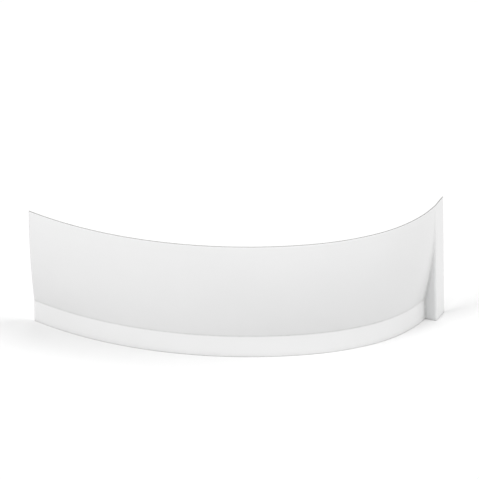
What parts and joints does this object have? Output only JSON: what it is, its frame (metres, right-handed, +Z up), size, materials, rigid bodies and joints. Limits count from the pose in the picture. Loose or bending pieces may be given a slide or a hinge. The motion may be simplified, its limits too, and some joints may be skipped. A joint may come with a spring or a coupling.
{
  "type": "bath panel",
  "caption": "Curved front panel for an asymmetric corner bath: one formed sheet with an undercut face, a recessed plinth and an upright strip at one end.",
  "frame": {"origin": "on the floor under the middle of the panel's box", "axes": "+X along the length of the bath, away from the wall that the oblique end meets; +Y to the wall behind the bath; +Z up"},
  "size_m": [1.6812, 0.8371, 0.56],
  "materials": {
    "acrylic": "gloss white"
  },
  "bodies": {
    "root": {"bath_panel": "acrylic"}
  },
  "joints": []
}
